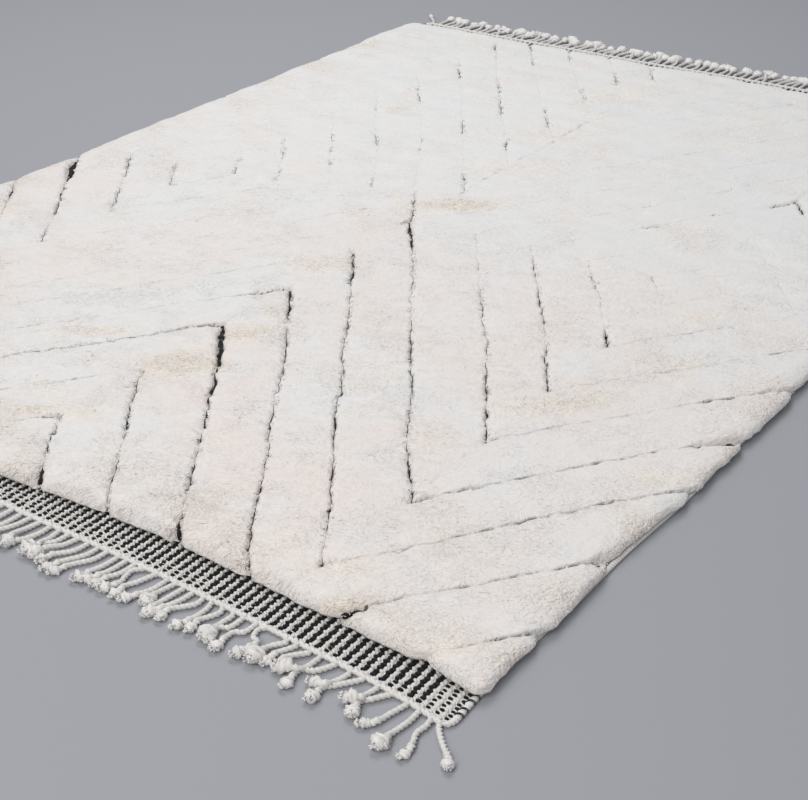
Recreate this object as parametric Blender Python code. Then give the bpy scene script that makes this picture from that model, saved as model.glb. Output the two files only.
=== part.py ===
"""A hand-knotted beni ourain wool rug, lying flat on the floor.

X runs across the rug, Y along it from the near end to the far end, and Z up from the floor.
The origin is on the floor under the middle of the rug. All sizes are in metres.
"""

import math

import bmesh
import bpy
from mathutils import Vector

# The whole rug, tassel tip to tassel tip, and over the two cords that splay out at the corners.
OVERALL_LENGTH = 3.020
OVERALL_WIDTH = 2.080

# The woven foundation, which the pile, the end bands and the selvedges share.
FOUNDATION_HALF_WIDTH = 0.982
GAP = 0.0003
SIDE_STEP = 0.100
END_NODES = 41
END_STEP = 2.0 * FOUNDATION_HALF_WIDTH / (END_NODES - 1)

# The knotted pile. Each row is a level of its side: height above the floor, and how far the
# pile stands out past the foundation there. It hangs over the selvedges and the end bands.
PILE_LEVELS = (
    {"height": 0.0000, "overhang": 0.000},
    {"height": 0.0098, "overhang": 0.000},
    {"height": 0.0160, "overhang": 0.018},
    {"height": 0.0240, "overhang": 0.019},
    {"height": 0.0310, "overhang": 0.004},
)
PILE_CORNER_RADIUS = 0.015
PILE_CORNER_STEPS = 3

# The flatwoven end bands.
BAND_THICKNESS = 0.006

# The overcast selvedge cords.
SELVEDGE_WIDTH = 0.011
SELVEDGE_HEIGHT = 0.0095
SELVEDGE_EDGE = 0.003

# The fringes: a twined heading with a row of twisted cords, each ending in a knot.
CORDS_PER_END = 88
HEADING_WIDTH = 0.012
CORD_WIDTH = 0.010
FRINGE_THICKNESS = 0.010
KNOT_WIDTH = 0.017
KNOT_LENGTH = 0.028
TIP_WIDTH = 0.010
CORD_LENGTH_SWING = 0.006
CORD_LEAN_SWING = 0.008
SPLAYED_CORD_SHARE = 0.85

# The two ends. "way" is the end's direction along Y, "pile_end" where the pile's foundation
# stops on the rug's centre line, "band" the width of the flatweave, "corner_pull" how far the
# corners stretch out past the middle, "slant" how far the end runs out of square, "cord" the
# length of its cords, and "splayed_side" the side whose last cord lies out sideways.
ENDS = {
    "near": {
        "way": -1,
        "pile_end": 1.284,
        "band": 0.078,
        "corner_pull": 0.032,
        "slant": 0.000,
        "cord": 0.106,
        "splayed_side": 1,
    },
    "far": {
        "way": 1,
        "pile_end": 1.303,
        "band": 0.093,
        "corner_pull": 0.002,
        "slant": 0.026,
        "cord": 0.088,
        "splayed_side": -1,
    },
}

IVORY = (0.80, 0.76, 0.70, 1.0)
CORD_WHITE = (0.76, 0.73, 0.68, 1.0)
BAND_GREY = (0.30, 0.29, 0.28, 1.0)


def clear_scene():
    for old in list(bpy.data.objects):
        bpy.data.objects.remove(old, do_unlink=True)


def wool(name, colour, roughness):
    material = bpy.data.materials.new(name)
    material.use_nodes = True
    shader = material.node_tree.nodes["Principled BSDF"]
    shader.inputs["Base Color"].default_value = colour
    shader.inputs["Roughness"].default_value = roughness
    shader.inputs["Metallic"].default_value = 0.0
    return material


def add_piece(name, mesh, material, collection):
    piece = bpy.data.objects.new(name, mesh)
    mesh.materials.append(material)
    collection.objects.link(piece)
    return piece


def mesh_of(bm, name):
    bmesh.ops.recalc_face_normals(bm, faces=bm.faces)
    mesh = bpy.data.meshes.new(name)
    bm.to_mesh(mesh)
    bm.free()
    return mesh


def between(place, step, curve):
    """The curve at this place, as the straight run between its two nodes a step apart."""
    first = math.floor(place / step)
    blend = place / step - first
    return (1.0 - blend) * curve(step * first) + blend * curve(step * (first + 1))


def side_curve(y):
    """Half the foundation's width at this length: a hand-woven edge wanders a little."""
    return FOUNDATION_HALF_WIDTH + 0.003 * math.sin(7.0 * y) + 0.002 * math.sin(17.0 * y + 1.0)


def side_line(y):
    """The side curve as the straight runs that all the pieces along the side share."""
    return between(y, SIDE_STEP, side_curve)


def side_stations(first, last):
    """The nodes of the side line between two places along the rug."""
    lowest = math.floor(first / SIDE_STEP) + 1
    highest = math.ceil(last / SIDE_STEP) - 1
    return [SIDE_STEP * k for k in range(lowest, highest + 1)]


def end_curve(x, end):
    """How far out from the rug's middle the pile stops at this place across the rug."""
    across = x / FOUNDATION_HALF_WIDTH
    pull = end["corner_pull"] * abs(across) ** 6
    slant = end["slant"] * math.sin(0.5 * math.pi * across)
    wander = 0.002 * math.sin(11.0 * x + 0.5)
    return end["pile_end"] + pull + slant + wander


def end_nodes():
    half = END_NODES // 2
    return [END_STEP * k for k in range(-half, half + 1)]


def end_line(x, end):
    """The end curve as the straight runs that all the pieces along the end share."""
    inside = math.copysign(min(abs(x), FOUNDATION_HALF_WIDTH - 1e-9), x)
    return between(inside, END_STEP, lambda node: end_curve(node, end))


def heading_line(x, end):
    """The outer edge of the fringe's heading, where the cords leave it."""
    return end_line(x, end) + end["band"] + GAP + HEADING_WIDTH


def corner_arc(x_side, y_way, end):
    """The rounded corner of the pile's foundation, from the end line round to the side line."""
    y_corner = end_line(x_side * FOUNDATION_HALF_WIDTH, end)
    x_corner = side_line(y_way * y_corner)
    x_start = x_corner - PILE_CORNER_RADIUS
    y_stop = y_corner - PILE_CORNER_RADIUS
    start = Vector((x_start, end_line(x_side * x_start, end)))
    corner = Vector((x_corner, y_corner))
    stop = Vector((side_line(y_way * y_stop), y_stop))
    points = []
    for step in range(PILE_CORNER_STEPS + 1):
        t = step / PILE_CORNER_STEPS
        place = start * (1.0 - t) ** 2 + corner * 2.0 * t * (1.0 - t) + stop * t ** 2
        points.append((x_side * place.x, y_way * place.y))
    return points


def pile_side(x_side):
    """One side of the pile's foundation with its two rounded corners, from near to far."""
    near = corner_arc(x_side, -1, ENDS["near"])
    far = corner_arc(x_side, 1, ENDS["far"])[::-1]
    along = side_stations(near[-1][1], far[0][1])
    return near + [(x_side * side_line(y), y) for y in along] + far


def pile_outline():
    """The foundation's outline under the pile, anticlockwise from the near left corner."""
    inner = end_nodes()[1:-1]
    near_end = [(x, -end_line(x, ENDS["near"])) for x in inner]
    far_end = [(x, end_line(x, ENDS["far"])) for x in reversed(inner)]
    return near_end + pile_side(1) + far_end + pile_side(-1)[::-1]


def grown(outline, distance):
    """The outline moved outwards by this distance, each point along the mean of its two edges."""
    moved = []
    for k, (x, y) in enumerate(outline):
        before = Vector(outline[k - 1])
        after = Vector(outline[(k + 1) % len(outline)])
        run = (after - before).normalized()
        moved.append((x + run.y * distance, y - run.x * distance))
    return moved


def pile_mesh():
    """The pile is lofted up through its levels, from the flat back to the top."""
    outline = pile_outline()
    bm = bmesh.new()
    rings = []
    for level in PILE_LEVELS:
        points = grown(outline, level["overhang"])
        rings.append([bm.verts.new((x, y, level["height"])) for x, y in points])
    count = len(outline)
    for low, high in zip(rings, rings[1:]):
        for k in range(count):
            after = (k + 1) % count
            bm.faces.new((low[k], low[after], high[after], high[k]))
    bm.faces.new(rings[0][::-1])
    bm.faces.new(rings[-1])
    return mesh_of(bm, "pile_field")


def flat_piece(name, outline, thickness):
    """A flat closed outline as a 2D curve, given its thickness and made a mesh on the floor."""
    curve = bpy.data.curves.new(name, "CURVE")
    curve.dimensions = "2D"
    curve.fill_mode = "BOTH"
    curve.extrude = 0.5 * thickness
    spline = curve.splines.new("POLY")
    spline.points.add(len(outline) - 1)
    for point, (x, y) in zip(spline.points, outline):
        point.co = (x, y, 0.0, 1.0)
    spline.use_cyclic_u = True
    drawn = bpy.data.objects.new(name + "_outline", curve)
    bpy.context.scene.collection.objects.link(drawn)
    bpy.context.view_layer.update()
    evaluated = drawn.evaluated_get(bpy.context.evaluated_depsgraph_get())
    mesh = bpy.data.meshes.new_from_object(evaluated)
    bpy.data.objects.remove(drawn, do_unlink=True)
    bm = bmesh.new()
    bm.from_mesh(mesh)
    bpy.data.meshes.remove(mesh)
    bmesh.ops.remove_doubles(bm, verts=bm.verts, dist=0.00002)
    bmesh.ops.translate(bm, verts=bm.verts, vec=(0.0, 0.0, 0.5 * thickness))
    return mesh_of(bm, name)


def laid_out(points, way):
    """Points (across, outwards) turned to the rug's frame. Those on the foundation's edge go to
    the side line."""
    placed = []
    for x, out in points:
        at_side = abs(abs(x) - FOUNDATION_HALF_WIDTH) < 1e-6
        x_side = math.copysign(side_line(way * out), x)
        placed.append((x_side if at_side else x, way * out))
    return placed


def band_outline(end):
    """The flatweave between the pile and the fringe, as wide as the foundation."""
    way = end["way"]
    nodes = end_nodes()
    inner = [(x, end_line(x, end) + GAP) for x in nodes]
    outer = [(x, end_line(x, end) + end["band"]) for x in reversed(nodes)]
    right = side_run(inner[-1], outer[0], way)
    left = side_run(inner[0], outer[-1], way)[::-1]
    return laid_out(inner, way) + right + laid_out(outer, way) + left


def side_run(inner_corner, outer_corner, way):
    """The side line's nodes between two corners of an end band, from the inner one outwards."""
    x_side = math.copysign(1.0, inner_corner[0])
    low, high = sorted((way * inner_corner[1], way * outer_corner[1]))
    return [(x_side * side_line(y), y) for y in side_stations(low, high)[::way]]


def cord_outline(end, number):
    """One cord of the fringe with its knot, from its left root round to its right root."""
    pitch = 2.0 * FOUNDATION_HALF_WIDTH / CORDS_PER_END
    x_root = -FOUNDATION_HALF_WIDTH + pitch * (number + 0.5)
    root = heading_line(x_root, end)
    length = end["cord"] + CORD_LENGTH_SWING * math.sin(0.9 * number)
    length = min(length, 0.5 * OVERALL_LENGTH - root)
    lean = CORD_LEAN_SWING * math.sin(0.3 * number + 0.8)
    last = CORDS_PER_END - 1 if end["splayed_side"] > 0 else 0
    if number == last:
        lean = end["splayed_side"] * (0.5 * OVERALL_WIDTH - abs(x_root) - 0.5 * KNOT_WIDTH)
        length = SPLAYED_CORD_SHARE * end["cord"]
    sections = (
        {"along": 0.0, "width": CORD_WIDTH},
        {"along": length - KNOT_LENGTH, "width": CORD_WIDTH},
        {"along": length - 0.5 * KNOT_LENGTH, "width": KNOT_WIDTH},
        {"along": length, "width": TIP_WIDTH},
    )
    left, right = [], []
    for section in sections:
        x = x_root + lean * min(1.0, section["along"] / (length - 0.5 * KNOT_LENGTH))
        half = 0.5 * section["width"]
        rises = section["along"] > 0.0
        for edge, shift in ((left, -half), (right, half)):
            foot = heading_line(x + shift, end)
            edge.append((x + shift, root + section["along"] if rises else foot))
    return left + right[::-1]


def fringe_outline(end):
    """The comb: the heading's inner edge, then its outer edge with every cord on it."""
    nodes = end_nodes()
    inner = [(x, end_line(x, end) + end["band"] + GAP) for x in reversed(nodes)]
    outer = [(nodes[0], heading_line(nodes[0], end))]
    for number in range(CORDS_PER_END):
        outer += cord_outline(end, number)
    outer.append((nodes[-1], heading_line(nodes[-1], end)))
    return laid_out(inner + outer, end["way"])


def selvedge_mesh(x_side):
    """A bar beside the foundation, its upper edges rounded off, bent to the side line."""
    corner = x_side * FOUNDATION_HALF_WIDTH
    first = -heading_line(corner, ENDS["near"])
    last = heading_line(corner, ENDS["far"])
    bm = bmesh.new()
    bmesh.ops.create_cube(bm, size=1.0)
    bmesh.ops.scale(bm, verts=bm.verts, vec=(SELVEDGE_WIDTH, last - first, SELVEDGE_HEIGHT))
    bmesh.ops.translate(bm, verts=bm.verts, vec=(0.0, 0.5 * (first + last), 0.5 * SELVEDGE_HEIGHT))
    top = [e for e in bm.edges if all(v.co.z > 0.5 * SELVEDGE_HEIGHT for v in e.verts)]
    upper = [e for e in top if e.calc_length() > SELVEDGE_WIDTH * 2.0]
    bmesh.ops.bevel(bm, geom=upper, offset=SELVEDGE_EDGE, segments=1, affect="EDGES")
    for y in side_stations(first, last):
        everything = bm.verts[:] + bm.edges[:] + bm.faces[:]
        bmesh.ops.bisect_plane(bm, geom=everything, plane_co=(0.0, y, 0.0), plane_no=(0.0, 1.0, 0.0))
    for vertex in bm.verts:
        centre = side_line(vertex.co.y) + GAP + 0.5 * SELVEDGE_WIDTH
        vertex.co.x += x_side * centre
    return mesh_of(bm, "selvedge")


clear_scene()
rug = bpy.data.collections.new("beni_ourain_rug")
bpy.context.scene.collection.children.link(rug)

pile_wool = wool("pile_wool", IVORY, 0.95)
band_wool = wool("band_wool", BAND_GREY, 0.90)
fringe_wool = wool("fringe_wool", CORD_WHITE, 0.90)
selvedge_wool = wool("selvedge_wool", CORD_WHITE, 0.90)

add_piece("pile_field", pile_mesh(), pile_wool, rug)
for end_name, rug_end in ENDS.items():
    band = flat_piece("end_band_" + end_name, band_outline(rug_end), BAND_THICKNESS)
    add_piece("end_band_" + end_name, band, band_wool, rug)
    fringe = flat_piece("fringe_" + end_name, fringe_outline(rug_end), FRINGE_THICKNESS)
    add_piece("fringe_" + end_name, fringe, fringe_wool, rug)
add_piece("selvedge_left", selvedge_mesh(-1), selvedge_wool, rug)
add_piece("selvedge_right", selvedge_mesh(1), selvedge_wool, rug)
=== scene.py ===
import math

import bpy
import numpy as np
from mathutils import Matrix, Vector


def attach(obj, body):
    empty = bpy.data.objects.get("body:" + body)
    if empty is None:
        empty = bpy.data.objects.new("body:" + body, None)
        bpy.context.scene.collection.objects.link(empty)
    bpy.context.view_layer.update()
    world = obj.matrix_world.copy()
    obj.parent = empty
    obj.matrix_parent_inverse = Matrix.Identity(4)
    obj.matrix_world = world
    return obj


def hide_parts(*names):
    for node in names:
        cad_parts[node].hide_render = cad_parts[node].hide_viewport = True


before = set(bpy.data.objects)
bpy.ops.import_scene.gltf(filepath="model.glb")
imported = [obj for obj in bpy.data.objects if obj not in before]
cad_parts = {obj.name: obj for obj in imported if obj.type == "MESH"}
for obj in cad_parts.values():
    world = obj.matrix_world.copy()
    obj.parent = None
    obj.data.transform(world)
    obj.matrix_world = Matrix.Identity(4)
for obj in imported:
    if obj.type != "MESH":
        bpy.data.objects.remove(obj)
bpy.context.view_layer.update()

bpy.ops.object.select_all(action="DESELECT")


# The foundation: a plain cloth of ivory wool warp and weft, woven on an upright loom.
# Every knot of the pile is tied round its warps, and it runs on into the flat ends.
HALF_WIDTH = 0.982
FOUNDATION_TOP = 0.005
END_COLUMNS = ("way", "pile_end", "band", "corner_pull", "slant", "bulge")
END_ROWS = {
    "near": (-1, 1.284, 0.078, 0.032, 0.000, 0.020),
    "far": (1, 1.303, 0.093, 0.002, 0.026, 0.000),
}
ENDS = {name: dict(zip(END_COLUMNS, row)) for name, row in END_ROWS.items()}


def side_edge(y):
    """How far the woven side lies from the middle: a hand-woven side wavers a little."""
    return HALF_WIDTH + 0.003 * np.sin(7 * y) + 0.002 * np.sin(17 * y + 1)


def pile_end(x, end):
    """How far out the last row of knots lies at x."""
    across = x / HALF_WIDTH
    pulled = end["corner_pull"] * np.abs(across) ** 6
    slanted = end["slant"] * np.sin(0.5 * math.pi * across)
    return end["pile_end"] + pulled + slanted + 0.002 * np.sin(11 * x + 0.5)


def wool_piece(name, points, faces, finishes, finish_of=None):
    """A new piece from its points and faces, smooth all over, in one or more finishes."""
    mesh = bpy.data.meshes.new(name)
    mesh.from_pydata(points.tolist(), [], faces)
    for finish in finishes:
        mesh.materials.append(finish)
    if finish_of is not None:
        mesh.polygons.foreach_set("material_index", finish_of)
    mesh.shade_smooth()
    piece = bpy.data.objects.new(name, mesh)
    bpy.context.scene.collection.objects.link(piece)
    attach(piece, "root")
    return piece


def cells(index):
    """The faces between the rows and columns of a grid of point numbers."""
    corners = (index[:-1, :-1], index[:-1, 1:], index[1:, 1:], index[1:, :-1])
    return np.stack(corners, axis=-1).reshape(-1, 4)


def cloth(top, under):
    """A closed cloth: its upper face is the grid top, its lower face is flat, at the height under."""
    rows, columns = top.shape[:2]
    upper = np.arange(rows * columns).reshape(rows, columns)
    lower = upper + rows * columns
    below = top.copy()
    below[:, :, 2] = under
    faces = [cells(upper), cells(lower)[:, ::-1]]
    for high, low in (
        (upper[0], lower[0]),
        (upper[:, -1], lower[:, -1]),
        (upper[-1, ::-1], lower[-1, ::-1]),
        (upper[::-1, 0], lower[::-1, 0]),
    ):
        faces.append(np.stack([low[:-1], low[1:], high[1:], high[:-1]], axis=-1))
    points = np.concatenate([top.reshape(-1, 3), below.reshape(-1, 3)])
    return points, np.concatenate(faces)


def knit(tree, kind, **settings):
    """A node of a finish, with its settings and plain inputs."""
    node = tree.nodes.new(kind)
    for name, value in settings.items():
        if hasattr(node, name):
            setattr(node, name, value)
        else:
            node.inputs[name.replace("_", " ")].default_value = value
    return node


def woollen(name, roughness, specular, sheen, sheen_roughness):
    """A new matt finish for wool, with its tree and its shader to build on."""
    finish = bpy.data.materials.new(name)
    finish.use_nodes = True
    shader = finish.node_tree.nodes["Principled BSDF"]
    shader.inputs["Roughness"].default_value = roughness
    shader.inputs["Specular IOR Level"].default_value = specular
    shader.inputs["Sheen Weight"].default_value = sheen
    shader.inputs["Sheen Roughness"].default_value = sheen_roughness
    return finish, finish.node_tree, shader


def wool(name, clean, shaded, grain, fuzz, sheen=0.25):
    """Spun wool: two tones that cloud into one another, and a bump of fine twisted fibres."""
    finish, tree, shader = woollen(name, 0.88, 0.2, sheen, 0.45)
    link = tree.links.new
    place = knit(tree, "ShaderNodeTexCoord")
    clouds = knit(tree, "ShaderNodeTexNoise", Scale=grain, Detail=5.0, Roughness=0.62)
    link(place.outputs["Object"], clouds.inputs["Vector"])
    tones = knit(tree, "ShaderNodeMix", data_type="RGBA")
    tones.inputs[6].default_value = (*shaded, 1)
    tones.inputs[7].default_value = (*clean, 1)
    spread = knit(tree, "ShaderNodeMapRange", From_Min=0.34, From_Max=0.62)
    link(clouds.outputs["Fac"], spread.inputs["Value"])
    link(spread.outputs["Result"], tones.inputs[0])
    link(tones.outputs[2], shader.inputs["Base Color"])
    hairs = knit(tree, "ShaderNodeTexNoise", Scale=grain * 5, Detail=4.0, Distortion=1.5)
    link(place.outputs["Object"], hairs.inputs["Vector"])
    bump = knit(tree, "ShaderNodeBump", Strength=0.6, Distance=fuzz)
    link(hairs.outputs["Fac"], bump.inputs["Height"])
    link(bump.outputs["Normal"], shader.inputs["Normal"])
    return finish


ivory_warp = wool("ivory_warp", (0.70, 0.67, 0.61), (0.55, 0.52, 0.46), 190, 0.0006)
across = np.linspace(-1, 1, 41)
along = np.linspace(0, 1, 61)[:, None]
near_side = -pile_end(across * HALF_WIDTH, ENDS["near"])
far_side = pile_end(across * HALF_WIDTH, ENDS["far"])
ground_y = near_side + (far_side - near_side) * along
ground_z = np.full_like(ground_y, FOUNDATION_TOP)
ground = np.stack([across * side_edge(ground_y), ground_y, ground_z], axis=-1)
foundation = wool_piece("foundation", *cloth(ground, 0.0), [ivory_warp])


# The knotted pile: soft ivory wool about 30 mm long, tied row by row and left uncut at the sides.
# Single rows of black yarn part it into nested diamonds, and each band between them stands up round.
LEFT_TURN, MIDDLE_TURN, RIGHT_TURN = -0.65, -0.04, 0.64
TURN_COLUMNS = ("x", "lower", "lower_step", "upper", "upper_step")
TURN_ROWS = (
    (-1.03, -0.473, -0.192, 0.436, 0.222),
    (LEFT_TURN, -0.962, -0.192, 0.930, 0.222),
    (MIDDLE_TURN, -0.054, -0.218, -0.042, 0.194),
    (RIGHT_TURN, -0.998, -0.220, 0.938, 0.208),
    (1.03, -0.472, -0.220, 0.419, 0.208),
)
TURNS = {name: np.array(column) for name, column in zip(TURN_COLUMNS, zip(*TURN_ROWS))}
STRAY_AT = (-1.03, LEFT_TURN, -0.35, MIDDLE_TURN, 0.12, 0.30, RIGHT_TURN, 1.03)
STRAY_MM = {
    "near": {
        -4: (-5, -8, -10, 0, 0, 0, 0, 0),
        -3: (-8, -13, -15, 0, 0, 8, 3, 0),
        -2: (-42, -36, -55, 0, 10, 26, 3, 0),
        -1: (-50, -45, -42, 0, 40, 42, 10, 8),
        0: (-45, -40, -25, 0, 6, 6, -3, 15),
        1: (0, 0, 2, 8, 8, 3, -8, 35),
        2: (0, 0, 8, 8, 30, 16, 12, 2),
        3: (0, 0, 8, 20, 27, 28, 0, 4),
        4: (0, 0, 0, 2, 14, 22, 0, 0),
        5: (0, 0, 10, 12, 25, 30, 0, 0),
    },
    "far": {
        -4: (0, 18, 5, 0, 0, 0, 0, 0),
        -3: (-40, -25, 0, 0, 0, 0, 0, 0),
        -2: (-78, -45, 5, 0, 0, -12, 35, 30),
        -1: (-80, -70, -6, 0, -15, -28, 80, 80),
        0: (-90, -95, -22, -5, -2, 20, 115, 115),
        1: (-95, -108, -36, 22, 45, 68, 125, 115),
        2: (-110, -125, -58, 25, 65, 78, 100, 100),
        3: (-130, -150, -80, 45, 110, 95, 90, 90),
        4: (-130, -150, -88, 50, 100, 90, 80, 80),
        5: (-130, -150, -85, 25, 90, 80, 70, 70),
    },
}
OVERHANG = 0.019
SILHOUETTE = HALF_WIDTH + OVERHANG
PILE_HEIGHT = 0.031
LOWEST_EDGE = 0.0115
ROLL_COLUMNS = ("width", "edge_height")
ROLL_ROWS = {"side": (0.046, 0.0140), "near": (0.030, 0.0160), "far": (0.020, 0.0220)}
ROLLS = {name: dict(zip(ROLL_COLUMNS, row)) for name, row in ROLL_ROWS.items()}
LEFT_FULLNESS = 0.011
RIGHT_FULLNESS = 0.002
BARE_AT = -0.87
EDGE_REACH = 0.046
PILE_OVER = {"near": 0.017, "far": 0.024}
COLUMN_STEP = 0.0037
ROWS_PER_BAND = {"near": 32, "far": 27}
ROW_CROWDING = 0.50
LEAST_ROW = 0.0014
LINE_LEAN = 0.587
CORNER = 0.026


def hills(x, y, size, seed):
    """Rolling random ground, about -1 to 1, that repeats nowhere; size is from one hill to the next."""
    u, v = x / size, y / size
    i, j = np.floor(u).astype(np.int64), np.floor(v).astype(np.int64)
    u, v = u - i, v - j

    def slope(di, dj):
        turn = ((i + di) * 374761393 + (j + dj) * 668265263 + seed * 974711) & 0xFFFFFFFF
        turn = ((turn ^ (turn >> 13)) * 1274126177) & 0xFFFFFFFF
        angle = (turn ^ (turn >> 16)) % 4096 * (2 * math.pi / 4096)
        return np.cos(angle) * (u - di) + np.sin(angle) * (v - dj)

    su, sv = u * u * (3 - 2 * u), v * v * (3 - 2 * v)
    near_pair = slope(0, 0) * (1 - su) + slope(1, 0) * su
    far_pair = slope(0, 1) * (1 - su) + slope(1, 1) * su
    return 1.6 * (near_pair * (1 - sv) + far_pair * sv)


def ease(value, low, high):
    """0 under low, 1 over high, and a soft rise between."""
    t = np.clip((value - low) / (high - low), 0, 1)
    return t * t * (3 - 2 * t)


def bell(distance, width):
    """1 at no distance, and a soft fall on both sides."""
    return np.exp(-((distance / width) ** 2))


def fade(distance, length):
    """1 at no distance, dying away evenly."""
    return np.exp(-distance / length)


ends_x = (-SILHOUETTE, LEFT_TURN, MIDDLE_TURN, RIGHT_TURN, SILHOUETTE)
column_x = [np.array([-SILHOUETTE])]
for start, stop in zip(ends_x[:-1], ends_x[1:]):
    column_x.append(np.linspace(start, stop, round((stop - start) / COLUMN_STEP) + 1)[1:])
column_x = np.concatenate(column_x)
spine_column = int(np.argmin(np.abs(column_x - MIDDLE_TURN)))
lattice = {name: np.interp(column_x, TURNS["x"], TURNS[name]) for name in TURN_COLUMNS[1:]}
stray = {}
for half, rows in STRAY_MM.items():
    table = [np.interp(column_x, STRAY_AT, rows[n]) for n in sorted(rows)]
    stray[half] = (min(rows), np.array(table) / 1000)


def line_y(half, lines):
    """Where the lines of this half cross each column: evenly stepped, but for how far each strays."""
    kind = "lower" if half == "near" else "upper"
    lowest, table = stray[half]
    place = np.clip(lines - lowest, 0, len(table) - 1.000001)
    below = np.floor(place).astype(int)
    share = (place - below)[:, None]
    strayed = table[below] * (1 - share) + table[below + 1] * share
    return lattice[kind] + lattice[kind + "_step"] * lines[:, None] + strayed


tried = np.linspace(-6, 1, 281)
gap = line_y("far", tried) - line_y("near", tried)
meeting = np.array([np.interp(0, gap[:, c], tried) for c in range(len(column_x))])
middle_y = np.array([line_y("near", meeting[c : c + 1])[0, c] for c in range(len(column_x))])
beyond = np.clip(np.abs(column_x) - (SILHOUETTE - CORNER), 0, CORNER)
rounding = CORNER - np.sqrt(CORNER**2 - beyond**2)
near_y = -pile_end(column_x, ENDS["near"]) - PILE_OVER["near"]
near_y = near_y - ENDS["near"]["bulge"] * bell(column_x, 0.11) + rounding
far_y = pile_end(column_x, ENDS["far"]) + PILE_OVER["far"]
far_y = far_y - 0.016 * ease(column_x, 0.05, 0.40) - rounding
columns = len(column_x)


def band_rows(half, low, high):
    """Rows of knots from the line low to the line high, closest together beside every line."""
    steps = np.arange(ROWS_PER_BAND[half]) / ROWS_PER_BAND[half]
    steps = steps - ROW_CROWDING * np.sin(2 * math.pi * steps) / (2 * math.pi)
    rows = np.concatenate([n + steps for n in range(math.floor(low), math.ceil(high))])
    return rows[(rows > low) & (rows < high)]


def pile_rows(half, lines, low, high):
    """Rows along the diamond lines, each cut off where it runs out of low to high."""
    whole = line_y(half, lines)
    first = (whole <= low + LEAST_ROW).sum(axis=0) - 1
    last = (whole < high - LEAST_ROW).sum(axis=0)
    row = np.clip(np.arange(len(lines))[:, None], first, last)
    y = np.where(row == first, low, np.where(row == last, high, whole))
    number = np.stack([np.interp(y[:, c], whole[:, c], lines) for c in range(columns)], axis=1)
    return y, row, first, last, number


lower_lines = band_rows("near", -5.2, 6.4)[::-1]
upper_lines = band_rows("far", -5.2, 7.8)
halves = {
    "near": pile_rows("near", lower_lines, near_y, middle_y),
    "far": pile_rows("far", upper_lines, middle_y, far_y),
}
column_number = np.arange(columns)
knots = {}
offset = 0
for half in halves:
    row = halves[half][1]
    knots[half] = row * columns + column_number + offset
    offset += row.size
at_middle = knots["near"][halves["near"][3], column_number]
far_row, far_first = halves["far"][1], halves["far"][2]
knots["far"] = np.where(far_row == far_first, at_middle, knots["far"])
every_knot = np.concatenate([knots["near"].ravel(), knots["far"].ravel()])
used, numbered = np.unique(every_knot, return_inverse=True)
near_size = knots["near"].size
knots["near"] = numbered[:near_size].reshape(knots["near"].shape)
knots["far"] = numbered[near_size:].reshape(knots["far"].shape)
flat_x = np.empty(len(used))
flat_y = np.empty(len(used))
line = np.empty(len(used))
is_far = np.zeros(len(used), dtype=bool)
for half in ("far", "near"):
    y, number = halves[half][0], halves[half][4]
    flat_x[knots[half]] = np.broadcast_to(column_x, y.shape)
    flat_y[knots[half]] = y
    line[knots[half]] = number
    is_far[knots[half]] = half == "far"

near_pitch = np.interp(flat_x, column_x, -lattice["lower_step"])
far_pitch = np.interp(flat_x, column_x, lattice["upper_step"])
signed_line = (line - np.round(line)) * np.where(is_far, far_pitch, near_pitch) * LINE_LEAN
from_line = np.abs(signed_line)
line_number = np.round(line).astype(int)

# Stretches of each line where the pile has parted and the black yarn shows: from and to in
# millimetres across the rug, and how much in hundredths.
PARTED = {
    ("near", 5): ((-60, 80, 50), (70, 115, 90)),
    ("near", 4): ((-50, 60, 45), (60, 120, 80), (140, 230, 55), (230, 270, 90)),
    ("near", 3): ((-450, -100, 15), (-50, 130, 100), (130, 330, 55), (360, 410, 75)),
    ("near", 2): (
        (-90, 60, 90), (80, 200, 55), (200, 250, 30), (250, 330, 38), (330, 390, 32), (390, 560, 50),
        (710, 775, 80), (975, 1005, 100),
    ),
    ("near", 1): (
        (-40, 50, 100), (50, 120, 32), (120, 230, 45), (230, 320, 40), (320, 420, 65), (420, 450, 40),
        (450, 580, 55), (580, 620, 25), (620, 650, 45),
    ),
    ("near", 0): (
        (-50, 50, 100), (50, 280, 20), (280, 440, 45), (440, 530, 35), (540, 670, 65), (700, 720, 30),
        (940, 1000, 100),
    ),
    ("near", -1): ((-990, -900, 60), (300, 500, 30), (500, 620, 55), (620, 650, 90), (960, 1000, 35)),
    ("near", -2): (
        (-990, -880, 100), (-880, -750, 60), (-690, -640, 40), (310, 360, 25), (390, 500, 45),
        (530, 640, 55),
    ),
    ("near", -3): ((-880, -780, 60), (-740, -640, 40), (450, 490, 35), (600, 645, 80)),
    ("near", -4): ((-730, -640, 35),),
    ("far", -4): ((-640, -620, 50), (-620, -560, 20)),
    ("far", -3): ((-635, -610, 50), (-610, -450, 25)),
    ("far", -2): ((-560, -400, 30), (420, 460, 40), (510, 530, 40), (600, 680, 60)),
    ("far", -1): ((-630, -560, 25), (-470, -400, 30), (-280, -230, 30), (340, 370, 50), (470, 490, 25)),
    ("far", 0): ((-635, -500, 45), (-340, -280, 35), (-140, -40, 60), (210, 240, 45)),
    ("far", 1): ((-635, -610, 55), (-600, -520, 35), (-340, -260, 35), (-100, -40, 35), (280, 310, 30)),
    ("far", 2): (
        (-635, -600, 90), (-600, -550, 45), (-440, -240, 45), (-150, -110, 32), (380, 410, 40),
    ),
    ("far", 3): ((-590, -520, 90), (-520, -420, 35), (-200, -110, 55), (330, 360, 45)),
    ("far", 4): ((-420, -340, 20), (-190, -130, 30)),
    ("far", 5): ((-300, -270, 30), (-180, -130, 55)),
    ("far", 6): ((-130, -50, 45),),
}

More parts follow.
